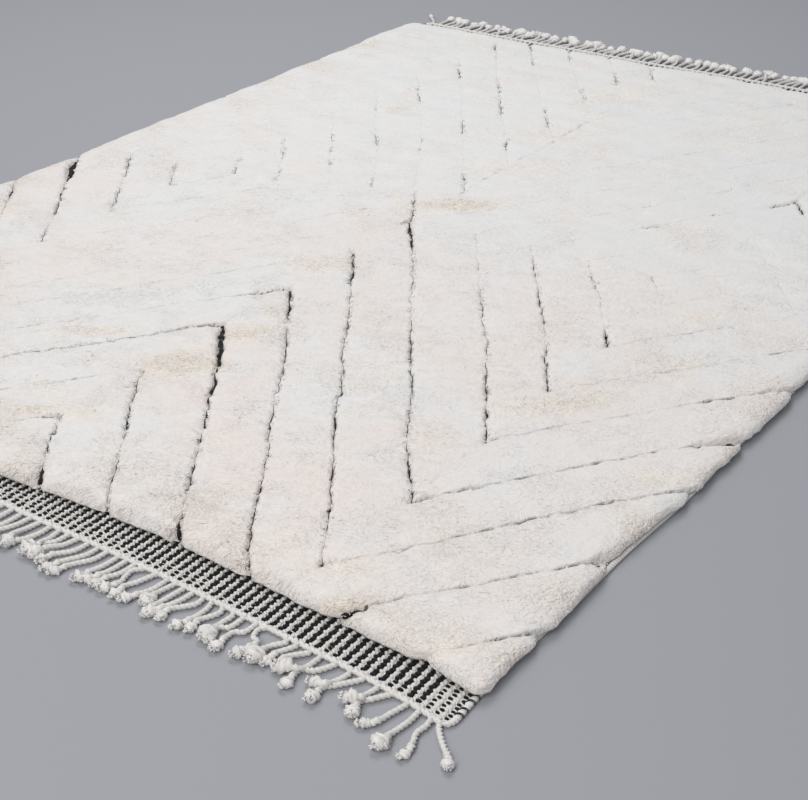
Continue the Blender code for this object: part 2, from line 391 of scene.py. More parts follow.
# Stretches where a line has closed to a plain crease in the wool, and how sharp it is there: how dark
# its painted shade is, and how high the lip beside it stands.
CREASED = {
    ("near", 3): ((-650, -40, 75), (930, 1000, 80)),
    ("near", 2): ((-500, -140, 10), (-140, -40, 50), (700, 860, 30), (840, 1000, 95)),
    ("near", 1): ((-400, -100, 12), (660, 760, 25), (760, 1000, 70)),
    ("near", 0): ((640, 840, 95), (840, 970, 50)),
    ("near", -1): ((640, 690, 50), (700, 880, 15), (880, 1000, 90)),
    ("near", -2): ((640, 900, 12), (900, 1000, 40)),
    ("near", -3): ((660, 800, 20),),
    ("near", 4): ((-350, -80, 30),),
    ("near", 5): ((-400, -50, 60),),
}


def charted(chart):
    """The share a chart of stretches gives each point, fading in and out at their ends."""
    total = np.zeros(len(used))
    for (half, number), stretches in chart.items():
        on_line = (is_far == (half == "far")) & (line_number == number)
        x = flat_x[on_line]
        for start, stop, amount in np.array(stretches) / (1000, 1000, 100):
            inside = ease(x, start - 0.010, start + 0.012) * ease(-x, -stop - 0.010, -stop + 0.012)
            total[on_line] = np.maximum(total[on_line], amount * inside)
    return total


parted = charted(PARTED)

# Where a parting gapes widest: x, y and half length in millimetres, and how much in hundredths.
WIDE_SPOTS = (
    (-935, -250, 50, 95), (-960, -430, 30, 30), (-5, -95, 40, 30), (10, -755, 70, 60),
    (120, -900, 50, 15), (-10, -510, 30, 35), (10, -330, 30, 20), (180, -1000, 30, 20),
)
agape = np.zeros(len(used))
for x, y, long, share in np.array(WIDE_SPOTS) / (1000, 1000, 1000, 100):
    spot = np.exp(-(((flat_x - x) ** 2 + (flat_y - y) ** 2) / long**2))
    agape = np.maximum(agape, share * spot)
agape = agape * ease(parted, 0.3, 0.6)

from_side = SILHOUETTE - np.abs(flat_x)
from_near = flat_y - np.interp(flat_x, column_x, near_y)
from_far = np.interp(flat_x, column_x, far_y) - flat_y
from_end = np.minimum(from_near, from_far)
from_edge = np.minimum(from_side, from_end)


def roll_drop(distance, edge):
    """How much lower the pile lies this far in from an edge that rolls over."""
    inward = np.clip(distance / edge["width"], 0, 1)
    return (PILE_HEIGHT - edge["edge_height"]) * (1 - np.sqrt(1 - (1 - inward) ** 2))


end_drop = roll_drop(from_near, ROLLS["near"]) + roll_drop(from_far, ROLLS["far"])
height = PILE_HEIGHT - np.hypot(roll_drop(from_side, ROLLS["side"]), end_drop)
height = np.maximum(height, LOWEST_EDGE)
plump = np.clip((height - LOWEST_EDGE) / (PILE_HEIGHT - LOWEST_EDGE), 0, 1)


def patches(size, seed):
    """The rolling random ground at each point of the pile."""
    return hills(flat_x, flat_y, size, seed)


# How far each line has opened: it shows in beads, gapes at the edges, and is deepest where it shows.
beads = 1 + np.where(is_far, 2.2, 1.2) * patches(0.018, 3) + 0.4 * patches(0.008, 4)
shows = np.clip(parted * beads * np.where(is_far, 0.75, 0.85), 0, 1)
deep = ease(shows, 0.02, 0.75)
wedge = ease(parted, 0.35, 0.7) * fade(from_near, 0.014)
gape = ease(parted, 0.5, 0.9) * fade(from_side, 0.030)
open_half = 0.0019 * shows + 0.0085 * agape + 0.0095 * wedge + 0.0045 * gape
shut = ease(patches(0.060, 8), -0.7, 0.5)
uneven = 0.25 + 1.25 * ease(patches(0.032, 19), -0.4, 0.5)
furrow = np.where(is_far, 0.035, 0.060) * (0.25 + shut) * uneven + 0.10 * fade(from_edge, 0.035)
bottom = np.maximum(1 - furrow - 0.48 * deep - 0.45 * gape, 0.15)
reach = 0.0065 + 0.0075 * deep + 0.0040 * ease(patches(0.09, 9), -0.5, 0.7)
reach = reach + 0.0060 * fade(from_edge, 0.03)
past_gap = np.clip((from_line - open_half) / reach, 0, 1)
stand = bottom + (1 - bottom) * np.sqrt(1 - (1 - past_gap) ** 2)
sag = np.where(is_far, 0.0011, 0.0016) * bell(from_line, 0.026)

# Painted shade down in the creases, and the black fibres beside the yarn, as a share for each point.
rises_near = ((flat_x > LEFT_TURN) & (flat_x < MIDDLE_TURN)) | (flat_x > RIGHT_TURN)
rising = np.where(is_far, ~rises_near, rises_near)
sharp = charted(CREASED) + np.where(is_far, 0.10, np.where(rises_near, 0.12, 0.42))
sharp = np.clip(sharp, 0, 1) * (0.45 + 0.75 * ease(patches(0.042, 20), -0.5, 0.4))
# The crease share is painted shade: dark along each crease, and darker where the line has parted or
# gapes.
crease_shade = np.clip(sharp * (0.25 + 1.1 * np.minimum(uneven, 1)) + 0.5 * shows + gape, 0, 1)
crease_shade = crease_shade * bell(from_line, 0.0013)
fray = bell(from_line, 0.0068) * ease(shows, 0.03, 0.60) * ease(from_side, 0.06, 0.10)
fray = np.maximum(fray, 0.50 * sharp * ~is_far * bell(from_line, 0.0055))
# Along the middle turn, a broken line of painted shade where the wool creases at the spine.
spine_gap = flat_x - MIDDLE_TURN + 0.010 * hills(flat_y * 0 + 2.3, flat_y, 0.045, 17)
spine_shade = bell(spine_gap, 0.0045) * ease(flat_y, 0.05, 0.15) * (1 - ease(flat_y, 0.7, 1.0))
spine_shade = spine_shade * (0.10 + 1.0 * ease(patches(0.035, 18), -0.2, 0.5))
crease_shade = np.maximum(crease_shade, 0.42 * spine_shade)
warm = (1 - 0.85 * ease(flat_y, -0.6, 0.4)) * (1 - 0.30 * ease(flat_x, 0.45, 0.90))

# Oval clumps of creamier wool: x, y, half length and half width in millimetres, and how creamy
# in hundredths.
CREAM_CLUMPS = (
    (10, -870, 85, 50, 100), (20, -700, 60, 34, 80), (-60, -360, 75, 43, 60),
    (-10, 90, 110, 42, 100), (-50, 340, 100, 47, 40), (-90, 630, 135, 63, 35),
    (-110, 1010, 189, 84, 30), (730, -1290, 40, 20, 100), (670, -1220, 60, 30, 55),
    (920, -1280, 40, 30, 60), (510, -1240, 60, 30, 35), (710, -570, 60, 30, 60),
    (630, -650, 70, 30, 45), (730, -120, 50, 30, 45), (940, -710, 70, 30, 40),
    (-240, -870, 90, 28, 70), (-90, -1150, 50, 20, 80), (0, -1100, 45, 31, 40),
)
FALL = 0.63
cream = 0.40 * ease(patches(0.23, 11) + 0.55 * patches(0.07, 12), 0.45, 1.2)
ragged = 1 + 0.6 * patches(0.045, 13)
for x, y, long, wide, share in np.array(CREAM_CLUMPS) / (1000, 1000, 1000, 1000, 100):
    right, ahead = flat_x - x, flat_y - y
    lengthways = (right * math.cos(FALL) + ahead * math.sin(FALL)) / long
    sideways = (ahead * math.cos(FALL) - right * math.sin(FALL)) / wide
    cream = np.maximum(cream, share * np.exp(-(((lengthways**2 + sideways**2) * ragged) ** 1.5)))
edge_nubs = ease(patches(0.10, 14), -0.3, 0.5) * fade(np.minimum(from_near, from_side * 1.5), 0.14)
cloud_nubs = 0.35 * ease(patches(0.16, 16), 0.0, 0.8)
nubs = np.clip(np.maximum(cream, 0.9 * edge_nubs) + cloud_nubs, 0, 1)
turn_gap = np.min([np.abs(flat_x - x) for x in (LEFT_TURN, MIDDLE_TURN, RIGHT_TURN)], axis=0)
turn_crease = bell(turn_gap, 0.006) * ease(hills(flat_x * 0 + 3.1, flat_y, 0.11, 15), 0.0, 0.8)

# Where a line rises to the right, the pile above it falls over the pile below, like a shingle.
away = signed_line * np.where(is_far, 1, -1)
lip = np.where(away > 0.0006, 0.0018 * bell(away, 0.013), -0.0017 * bell(away, 0.0060))
lip = lip * rising * (1 - shows) * (0.12 + 0.88 * sharp) * (0.35 + 0.60 * np.minimum(uneven, 1.2))

# The lie of the wool: broad swells, then tufts and nubs combed the way the pile falls.
fall_x = flat_x * math.cos(FALL) + flat_y * math.sin(FALL)
fall_y = -flat_x * math.sin(FALL) + flat_y * math.cos(FALL)
swell = 0.0015 * patches(0.060, 21) + 0.0024 * is_far * hills(flat_x, flat_y * 2.6, 0.15, 37)
tufts = 0.0010 * hills(fall_x / 1.7, fall_y, 0.0160, 22) + 0.0007 * patches(0.0105, 23)
tufts = tufts * (0.6 + 0.6 * warm)
nub_bumps = 0.0024 * np.abs(hills(fall_x / 1.4, fall_y, 0.0125, 28)) + 0.0016 * patches(0.0088, 29)
bend = 0.014 * patches(0.05, 24)
partings = np.clip(1 - np.abs(hills(fall_x / 2.6, fall_y + bend, 0.024, 26)) / 0.16, 0, 1)
partings = partings * ease(hills(fall_x / 1.5, fall_y, 0.07, 27), 0.10, 0.6)
rng = np.random.default_rng(5)
ruffle = rng.normal(0, 0.00030, len(used))
pile_z = FOUNDATION_TOP + (height - FOUNDATION_TOP) * stand - sag * plump
pile_z = pile_z + (swell + tufts + lip + nub_bumps * nubs + ruffle) * (0.4 + 0.6 * plump)
pile_z = pile_z - 0.0016 * partings * past_gap * (0.2 + 0.8 * nubs) - 0.0022 * turn_crease * plump

# The outline: fuller and notched at the lines along the edges, and wandering a little within.
notch = bell(from_line, 0.009) * fade(from_edge, 0.022)
side_share = np.clip(1 - from_side / EDGE_REACH, 0, 1)
end_share = np.clip(1 - from_end / EDGE_REACH, 0, 1)
end_way = np.where(from_near < from_far, -1, 1)
outward = np.stack([np.sign(flat_x) * side_share, end_way * end_share], axis=-1)
outward = outward / np.maximum(np.linalg.norm(outward, axis=1, keepdims=True), 1e-6)
push = 0.0040 * patches(0.115, 31) + 0.0020 * patches(0.030, 30) + 0.0014 * patches(0.014, 32)
push = fade(from_edge, 0.040) * (push + 0.001) - 0.010 * notch
right_fullness = RIGHT_FULLNESS - 0.013 * bell(flat_y - BARE_AT, 0.13)
wave = side_edge(flat_y) + OVERHANG - SILHOUETTE + np.where(flat_x < 0, LEFT_FULLNESS, right_fullness)
wave = (np.abs(flat_x) / SILHOUETTE) ** 12 * wave
wander = ease(from_edge, 0.0, 0.08)
pile_x = flat_x + np.sign(flat_x) * wave + outward[:, 0] * push
pile_x = pile_x + wander * (0.0060 * patches(0.19, 33) + 0.0038 * patches(0.028, 34))
pile_y = flat_y + outward[:, 1] * push
pile_y = pile_y + wander * (0.0040 * patches(0.19, 35) + 0.0038 * patches(0.028, 36))
pile_points = np.stack([pile_x, pile_y, pile_z], axis=-1)


def pile_faces(index):
    """Faces between rows of knots: four-sided, or three-sided where a row is cut off."""
    faces = cells(index)
    left_shut = faces[:, 0] == faces[:, 3]
    right_shut = faces[:, 1] == faces[:, 2]
    whole = faces[~left_shut & ~right_shut]
    left = faces[left_shut & ~right_shut][:, [0, 1, 2]]
    right = faces[right_shut & ~left_shut][:, [0, 1, 3]]
    return whole, np.concatenate([left, right])


def facing(points, faces):
    """Which way the surface faces at each point."""
    total = np.zeros_like(points)
    for group in faces:
        a, b, c = (points[group[:, i]] for i in (0, 1, -1))
        normal = np.cross(b - a, c - a)
        for i in range(group.shape[1]):
            for axis in range(3):
                total[:, axis] += np.bincount(group[:, i], normal[:, axis], len(points))
    return total / np.maximum(np.linalg.norm(total, axis=1, keepdims=True), 1e-12)


both = [pile_faces(knots["near"]), pile_faces(knots["far"])]
pile_facing = facing(pile_points, [both[0][0], both[1][0], both[0][1], both[1][1]])


PILE_TONES = {
    "clean": (0.834, 0.832, 0.826),
    "pinkish": (0.858, 0.800, 0.765),
    "greyish": (0.838, 0.832, 0.824),
    "nubby": (0.930, 0.866, 0.815),
    "creamy": (0.965, 0.895, 0.800),
    # The next four tones are painted shade, in the crevices, the dashes and the creases; the last is
    # the black of stray fibres.
    "crevice_shade": (0.62, 0.50, 0.40),
    "curl_crevice_shade": (0.70, 0.58, 0.46),
    "shaded_dash": (0.48, 0.41, 0.37),
    "painted_crease_shade": (0.12, 0.11, 0.108),
    "frayed": (0.035, 0.032, 0.033),
}


def pile_wool(name):
    """Ivory wool in soft locks, creamier along the turns, pinkish and greyish in clouds, with painted
    shade in its crevices and creases.
    """
    finish, tree, shader = woollen(name, 0.92, 0.15, 0.20, 0.5)
    link = tree.links.new
    place = knit(tree, "ShaderNodeTexCoord").outputs["Object"]

    def noise(scale, detail=3.0, source=place, rough=0.55, output="Fac"):
        """Soft random clouds."""
        node = knit(tree, "ShaderNodeTexNoise", Scale=scale, Detail=detail, Roughness=rough)
        link(source, node.inputs["Vector"])
        return node.outputs[output]

    def between(value, low, high, to_low=0.0, to_high=1.0):
        """A value spread softly from low and high to new limits."""
        limits = dict(From_Min=low, From_Max=high, To_Min=to_low, To_Max=to_high)
        node = knit(tree, "ShaderNodeMapRange", interpolation_type="SMOOTHSTEP", **limits)
        link(value, node.inputs["Value"])
        return node.outputs["Result"]

    def tinted(tone, share, name):
        """A tone with a share of another laid over it."""
        node = knit(tree, "ShaderNodeMix", data_type="RGBA")
        link(share, node.inputs[0])
        if isinstance(tone, tuple):
            node.inputs[6].default_value = (*tone, 1)
        else:
            link(tone, node.inputs[6])
        node.inputs[7].default_value = (*PILE_TONES[name], 1)
        return node.outputs[2]

    def sums(kind, first, second):
        node = knit(tree, "ShaderNodeMath", operation=kind)
        for i, value in enumerate((first, second)):
            if isinstance(value, float):
                node.inputs[i].default_value = value
            else:
                link(value, node.inputs[i])
        return node.outputs[0]

    def times(first, second):
        return sums("MULTIPLY", first, second)

    def plus(first, second):
        return sums("ADD", first, second)

    def moved(strength, scale):
        """The place, pushed about softly so that the locks of wool do not all lie alike."""
        centred = knit(tree, "ShaderNodeVectorMath", operation="SUBTRACT")
        link(noise(scale, 2.0, rough=0.5, output="Color"), centred.inputs[0])
        centred.inputs[1].default_value = (0.5, 0.5, 0.5)
        scaled = knit(tree, "ShaderNodeVectorMath", operation="SCALE", Scale=strength)
        link(centred.outputs[0], scaled.inputs[0])
        total = knit(tree, "ShaderNodeVectorMath", operation="ADD")
        link(place, total.inputs[0])
        link(scaled.outputs[0], total.inputs[1])
        return total.outputs[0]

    def combed(source, stretch):
        """A place drawn out along the way the pile falls."""
        mapping = knit(tree, "ShaderNodeMapping", vector_type="TEXTURE")
        mapping.inputs["Scale"].default_value = (stretch, 1.0, 1.0)
        mapping.inputs["Rotation"].default_value = (0, 0, FALL)
        link(source, mapping.inputs["Vector"])
        return mapping.outputs["Vector"]

    def rounded(source, scale, stretch):
        """Rounded locks of wool: how far in from the crevice round each."""
        node = knit(tree, "ShaderNodeTexVoronoi", feature="DISTANCE_TO_EDGE", Scale=scale)
        link(combed(source, stretch), node.inputs["Vector"])
        return node.outputs["Distance"]

    def painted(name, output="Fac"):
        """A value kept at each point of the pile."""
        return knit(tree, "ShaderNodeAttribute", attribute_name=name).outputs[output]

    nubby = painted("nubs")
    warm_share = painted("warm")
    lively = plus(times(warm_share, 0.62), 0.38)
    stirred = moved(0.022, 26.0)
    tone = tinted(PILE_TONES["clean"], times(between(noise(2.3), 0.36, 0.56), warm_share), "pinkish")
    tone = tinted(tone, times(between(noise(9.0, 4.0), 0.45, 0.70), 0.8), "greyish")
    tone = tinted(tone, times(nubby, 0.8), "nubby")
    tone = tinted(tone, times(painted("cream"), between(noise(42.0), 0.30, 0.62)), "creamy")

    # Painted shade in the crevices round the locks and the finer curls, where the wool is nubby, and in
    # small dark dashes.
    lock = rounded(stirred, 80.0, 1.7)
    curl = rounded(moved(0.008, 110.0), 175.0, 1.35)
    scattered = between(noise(62.0, 2.0), 0.46, 0.60)
    crevice_shade = times(between(lock, 0.0, 0.15, 1.0, 0.0), times(nubby, scattered))
    curl_crevice_shade = times(between(curl, 0.0, 0.14, 1.0, 0.0), times(nubby, lively))
    open_share = plus(between(noise(11.0), 0.46, 0.64, 0.20, 0.60), times(nubby, 0.60))
    open_share = times(open_share, lively)
    shaded_dash = between(noise(170.0, 2.0, combed(stirred, 2.2)), 0.29, 0.37, 1.0, 0.0)
    shaded_dash = times(shaded_dash, open_share)
    tone = tinted(tone, times(crevice_shade, 0.36), "crevice_shade")
    tone = tinted(tone, times(curl_crevice_shade, 0.30), "curl_crevice_shade")
    tone = tinted(tone, times(shaded_dash, 0.90), "shaded_dash")

    # Painted shade in the creases and partings, and black fibres caught in the wool beside the yarn.
    painted_crease_shade = times(painted("crease_shade"), between(noise(88.0), 0.43, 0.55, 0.08, 1.0))
    tone = tinted(tone, times(painted_crease_shade, 0.96), "painted_crease_shade")
    fibres_out = noise(1.0, 3.0, painted("along_line", "Vector"), 0.65)
    frayed = between(plus(fibres_out, times(painted("fray"), 0.30)), 0.74, 0.84)
    tone = tinted(tone, times(frayed, 0.85), "frayed")
    link(tone, shader.inputs["Base Color"])

    # The relief of the same locks, curls and dashes, over a ground of fine fibres.
    nub = between(noise(165.0, 2.0, combed(stirred, 1.5)), 0.32, 0.62)
    relief = times(noise(420.0, 3.0, combed(stirred, 2.6), 0.6), 0.30)
    relief = plus(relief, times(nub, plus(times(open_share, 0.70), 0.11)))
    relief = plus(relief, times(between(lock, 0.0, 0.32), times(nubby, 0.40)))
    relief = plus(relief, times(between(curl, 0.0, 0.28), times(nubby, 0.34)))
    relief = sums("SUBTRACT", relief, times(shaded_dash, 0.25))
    bump = knit(tree, "ShaderNodeBump", Strength=0.85, Distance=0.0036)
    link(relief, bump.inputs["Height"])
    link(bump.outputs["Normal"], shader.inputs["Normal"])
    return finish


ivory_pile = pile_wool("ivory_pile")
PAINTED = {"cream": cream, "nubs": nubs, "crease_shade": crease_shade, "fray": fray, "warm": warm}

# The tuck of the edge: how far in from the rim, and how high, each ring of it lies.
TUCK = ((0.0012, 0.0125), (0.0070, 0.0104), (0.0180, 0.0102), (0.0180, 0.0046))


def pile_quarter(name, half, begin, end):
    """One quarter of the pile: its top, a rolled edge that tucks under, and a flat back."""
    first, last = halves[half][2:4]
    index = knots[half]
    whole, cut = pile_faces(index[:, begin : end + 1])
    low = [index[first[c], c] for c in range(begin, end + 1)]
    high = [index[last[c], c] for c in range(end, begin - 1, -1)]
    right = [index[r, end] for r in range(first[end] + 1, last[end])]
    left = [index[r, begin] for r in range(last[begin] - 1, first[begin], -1)]
    outer = [half == "near"] * len(low) + [end == columns - 1] * len(right)
    outer += [half == "far"] * len(high) + [begin == 0] * len(left)
    rim = np.array(low + right + high + left)
    outer = np.array(outer) | (np.abs(flat_x[rim]) > SILHOUETTE - 1e-6)
    inside = -outward[rim] * outer[:, None]
    rings = []
    for step, (inward, z) in enumerate(TUCK, 1):
        ring = pile_points[rim].copy()
        ring[:, :2] += inside * inward
        ring[:, 2] = np.minimum(ring[:, 2] - 0.0004 * step, z)
        rings.append(ring)
    middle = rings[-1].mean(axis=0)
    kept, new = np.unique(np.concatenate([whole.ravel(), cut.ravel()]), return_inverse=True)
    whole = new[: whole.size].reshape(whole.shape)
    cut = new[new.size - cut.size :].reshape(cut.shape)
    points = np.concatenate([pile_points[kept], *rings, [middle]])
    loop = np.searchsorted(kept, rim)
    skirt = []
    for n in range(len(rings)):
        below = np.arange(len(rim)) + len(kept) + n * len(rim)
        skirt.append(np.stack([loop, below, np.roll(below, -1), np.roll(loop, -1)], axis=-1))
        loop = below
    skirt = np.concatenate(skirt)
    back = np.stack([np.roll(loop, -1), loop, np.full(len(rim), len(points) - 1)], axis=-1)
    faces = [*whole.tolist(), *skirt.tolist(), *cut.tolist(), *back.tolist()]
    piece = wool_piece(name, points, faces, [ivory_pile])
    normals = facing(points, [whole, skirt, cut, back])
    seam = ~outer
    normals[: len(kept)][np.searchsorted(kept, rim[seam])] = pile_facing[rim[seam]]
    piece.data.normals_split_custom_set_from_vertices(normals.tolist())
    spare = np.zeros(len(points) - len(kept))
    for kind, values in PAINTED.items():
        kept_values = piece.data.attributes.new(kind, "FLOAT", "POINT")
        kept_values.data.foreach_set("value", np.concatenate([values[kept], spare]))
    placed = np.stack([flat_x * 300, signed_line * 90, line_number * 7.3], axis=-1)[kept]
    along_line = piece.data.attributes.new("along_line", "FLOAT_VECTOR", "POINT")
    along_line.data.foreach_set("vector", np.concatenate([placed.ravel(), np.repeat(spare, 3)]))
    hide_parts("pile_field")


pile_quarter("pile_near_left", "near", 0, spine_column)
pile_quarter("pile_near_right", "near", spine_column, columns - 1)
pile_quarter("pile_far_left", "far", 0, spine_column)
pile_quarter("pile_far_right", "far", spine_column, columns - 1)


# The black yarn: one row of short black knots along every line, sunk between the ivory bands.
# It shows as beads and dashes where the ivory wool on either side has parted; where a line gapes it
# swells, partly standing in for the shade down in the gap.
black_wool = wool("black_wool", (0.016, 0.015, 0.016), (0.006, 0.006, 0.007), 300, 0.0008, 0.1)
YARN_SIDES = 5
LEAST_SHOWN = 0.10


def frame_along(centre, upright=(0.0, 0.0, 1.0)):
    """Which way a run goes at each of its points, and the way square across it."""
    ahead = np.gradient(centre, axis=0)
    ahead /= np.linalg.norm(ahead, axis=1, keepdims=True)
    across = np.cross(ahead, upright)
    return ahead, across / np.maximum(np.linalg.norm(across, axis=1, keepdims=True), 1e-9)


def tube_faces(rings):
    """The faces of a closed tube, from the point numbers of its rings, with a cap at each end."""
    wall = cells(np.concatenate([rings, rings[:, :1]], axis=1))[:, ::-1].tolist()
    return wall + [rings[0].tolist(), rings[-1, ::-1].tolist()]


def joined(parts):
    """One set of points and faces from several."""
    points, faces, count = [], [], 0
    for more, shapes in parts:
        points.append(more)
        faces += [[i + count for i in face] for face in shapes]
        count += len(more)
    return np.concatenate(points), faces


def tubes(runs, sides, start=0.3, upright=(0.0, 0.0, 1.0)):
    """Closed tubes, one for each run of (points, radii)."""
    around = np.arange(sides) * (2 * math.pi / sides) + start
    parts = []
    for centre, radius in runs:
        ahead, across = frame_along(centre, upright)
        up = np.cross(across, ahead)
        ring = across[:, None] * np.cos(around)[:, None] + up[:, None] * np.sin(around)[:, None]
        points = (centre[:, None] + ring * radius[:, None, None]).reshape(-1, 3)
        parts.append((points, tube_faces(np.arange(len(points)).reshape(-1, sides))))
    return joined(parts)


yarn_runs = []
yarn_spots = []
for half, lines in (("near", lower_lines), ("far", upper_lines)):
    first, last = halves[half][2:4]
    for r in np.flatnonzero(np.abs(lines - np.round(lines)) < 1e-9):
        here = knots[half][r]
        seen = np.flatnonzero((first < r) & (r < last) & (shows[here] > LEAST_SHOWN))
        for run in np.split(seen, np.flatnonzero(np.diff(seen) > 1) + 1):
            if len(run) < 4:
                continue
            spots = here[run]
            x, y, z = pile_points[spots].T
            bead = 0.65 + 1.7 * hills(x, y, 0.0115, 41) + 0.4 * hills(x, y, 0.04, 42)
            radius = 0.0005 + 0.0023 * shows[spots] * np.clip(bead, 0.08, 2.2)
            # At the wide spots the yarn shows broad; at the wedges by the near edge and the gapes at
            # the sides it swells as well, partly the black yarn itself and partly a black stand-in for
            # the shade down in the gap.
            radius = radius + 0.0060 * wedge[spots] + 0.0055 * agape[spots] + 0.0022 * gape[spots]
            z = z + (0.0040 * shows[spots] - 0.0010 + 0.0006 * hills(x, y, 0.009, 43))
            y = y + 0.0008 * hills(x, y, 0.012, 44)
            from_tip = np.minimum(np.arange(len(run)), np.arange(len(run))[::-1])
            taper = 0.25 + 0.75 * ease(from_tip, -1, 4)
            radius = radius * np.maximum(taper, np.clip(2 * wedge[spots], 0, 1))
            radius[[0, -1]] *= 0.6
            yarn_runs.append((np.stack([x, y, z], axis=-1), radius))
            yarn_spots.append(spots)
black_yarn = wool_piece("black_yarn", *tubes(yarn_runs, YARN_SIDES), [black_wool])
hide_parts("pile_field")


# Loose locks: tapered ends of ivory wool that have slipped across the lines and out over the edges.
# Each is a few fibres of the pile that stand clear of the rest.
def locks(starts, ways, lengths, widths, droop):
    """Tapered locks of wool, three-sided, bent once on their way."""
    ways = ways / np.linalg.norm(ways, axis=1, keepdims=True)
    side = np.cross(ways, (0.0, 0.0, 1.0))
    side /= np.maximum(np.linalg.norm(side, axis=1, keepdims=True), 1e-6)
    rise = np.cross(side, ways)
    rings = []
    for share, thick in ((0.0, 1.0), (0.55, 0.75)):
        centre = starts + ways * (lengths * share)[:, None]
        centre[:, 2] -= droop * share**2
        for angle in (0.5, 2.6, 4.7):
            offset = side * math.cos(angle) + rise * math.sin(angle)
            rings.append(centre + offset * (widths * thick)[:, None])
    tip = starts + ways * lengths[:, None]
    tip[:, 2] -= droop
    points = np.stack([*rings, tip], axis=1).reshape(-1, 3)
    points[:, 2] = np.maximum(points[:, 2], 0.0003)
    pattern = [(0, 1, 2), (3, 4, 1, 0), (4, 5, 2, 1), (5, 3, 0, 2), (6, 4, 3), (6, 5, 4), (6, 3, 5)]
    faces = [tuple(7 * n + i for i in face) for n in range(len(starts)) for face in pattern]
    return points, faces


lock_parts = []
spots = np.concatenate(yarn_spots)
across_yarn = np.concatenate([frame_along(run)[1] for run, _ in yarn_runs])
for side in (-1, 1):
    chosen = rng.random(len(spots)) < 0.50 * (1 - shows[spots]) + 0.08
    n = int(chosen.sum())
    across = side * across_yarn[chosen]
    way = -across + rng.normal(0, 0.35, (n, 3)) * (1, 1, 0.25)
    start = pile_points[spots[chosen]] + across * rng.uniform(0.004, 0.009, (n, 1))
    start[:, 2] += rng.uniform(0.0035, 0.0070, n)
    length, width = rng.uniform(0.004, 0.009, n), rng.uniform(0.0006, 0.0014, n)
    lock_parts.append(locks(start, way, length, width, 0.002))
rim_low = np.array([knots["near"][halves["near"][2][c], c] for c in range(columns)])
rim_high = np.array([knots["far"][halves["far"][3][c], c] for c in range(columns)])
rim_sides = [np.unique(knots[half][:, c]) for half in ("near", "far") for c in (0, columns - 1)]
rim = np.concatenate([rim_low, rim_high, *rim_sides])
for lift in (0.000, 0.003):
    chosen = rim[rng.random(len(rim)) < 0.6]
    n = len(chosen)
    drooping = np.full((n, 1), -0.15)
    way = np.concatenate([outward[chosen], drooping], axis=1) + rng.normal(0, 0.35, (n, 3))
    start = pile_points[chosen] - way * 0.004 + np.array([0, 0, lift])
    length, width = rng.uniform(0.0035, 0.0075, n), rng.uniform(0.0008, 0.0017, n)
    lock_parts.append(locks(start, way, length, width, 0.001))
loose_locks = wool_piece("loose_locks", *joined(lock_parts), [ivory_pile])
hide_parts("pile_field")


# The flatwoven ends: weft-faced weave, a pick of white and a pick of black wool by turns.
# Every second warp is covered by white and the others by black, so ribs of both run along the rug.
white_weft = wool("white_weft", (0.86, 0.85, 0.83), (0.74, 0.72, 0.69), 260, 0.0008)
BAND_TOP = 0.0032
RIB_PITCH = 0.01722
GRAIN_PITCH = 0.0086
UNDER_PILE = 0.012
BLACK_GRAIN = (0.0061, 0.0043)
WHITE_GRAIN = (0.0050, 0.0031, 0.0042)
PLAIN_COLUMNS = 6


def grain():
    """One weft float: a small oval of wool, flat below."""
    bpy.ops.mesh.primitive_uv_sphere_add(segments=8, ring_count=3, radius=1.0)
    ball = bpy.context.object
    bpy.ops.object.mode_set(mode="EDIT")
    bpy.ops.mesh.select_all(action="SELECT")
    bpy.ops.mesh.bisect(plane_co=(0, 0, 0.02), plane_no=(0, 0, 1), clear_inner=True, use_fill=True)
    bpy.ops.object.mode_set(mode="OBJECT")
    points = np.array([v.co[:] for v in ball.data.vertices])
    faces = [tuple(f.vertices) for f in ball.data.polygons]
    bpy.data.objects.remove(ball)
    return points, faces


grain_points, grain_faces = grain()


def grains(centres, sizes, turns):
    """Many grains in one mesh: each has its own place, size and turn about the upright."""
    cos, sin = np.cos(turns)[:, None], np.sin(turns)[:, None]
    x = grain_points[None, :, 0] * sizes[:, 0:1]
    y = grain_points[None, :, 1] * sizes[:, 1:2]
    z = grain_points[None, :, 2] * sizes[:, 2:3]
    points = np.stack([x * cos - y * sin, x * sin + y * cos, z], axis=-1) + centres[:, None]
    stride = len(grain_points)
    faces = [tuple(stride * n + i for i in face) for n in range(len(centres)) for face in grain_faces]
    return points.reshape(-1, 3), faces


def heading_edge(x, end):
    """How far out the twined heading begins at x."""
    return pile_end(x, end) + end["band"]


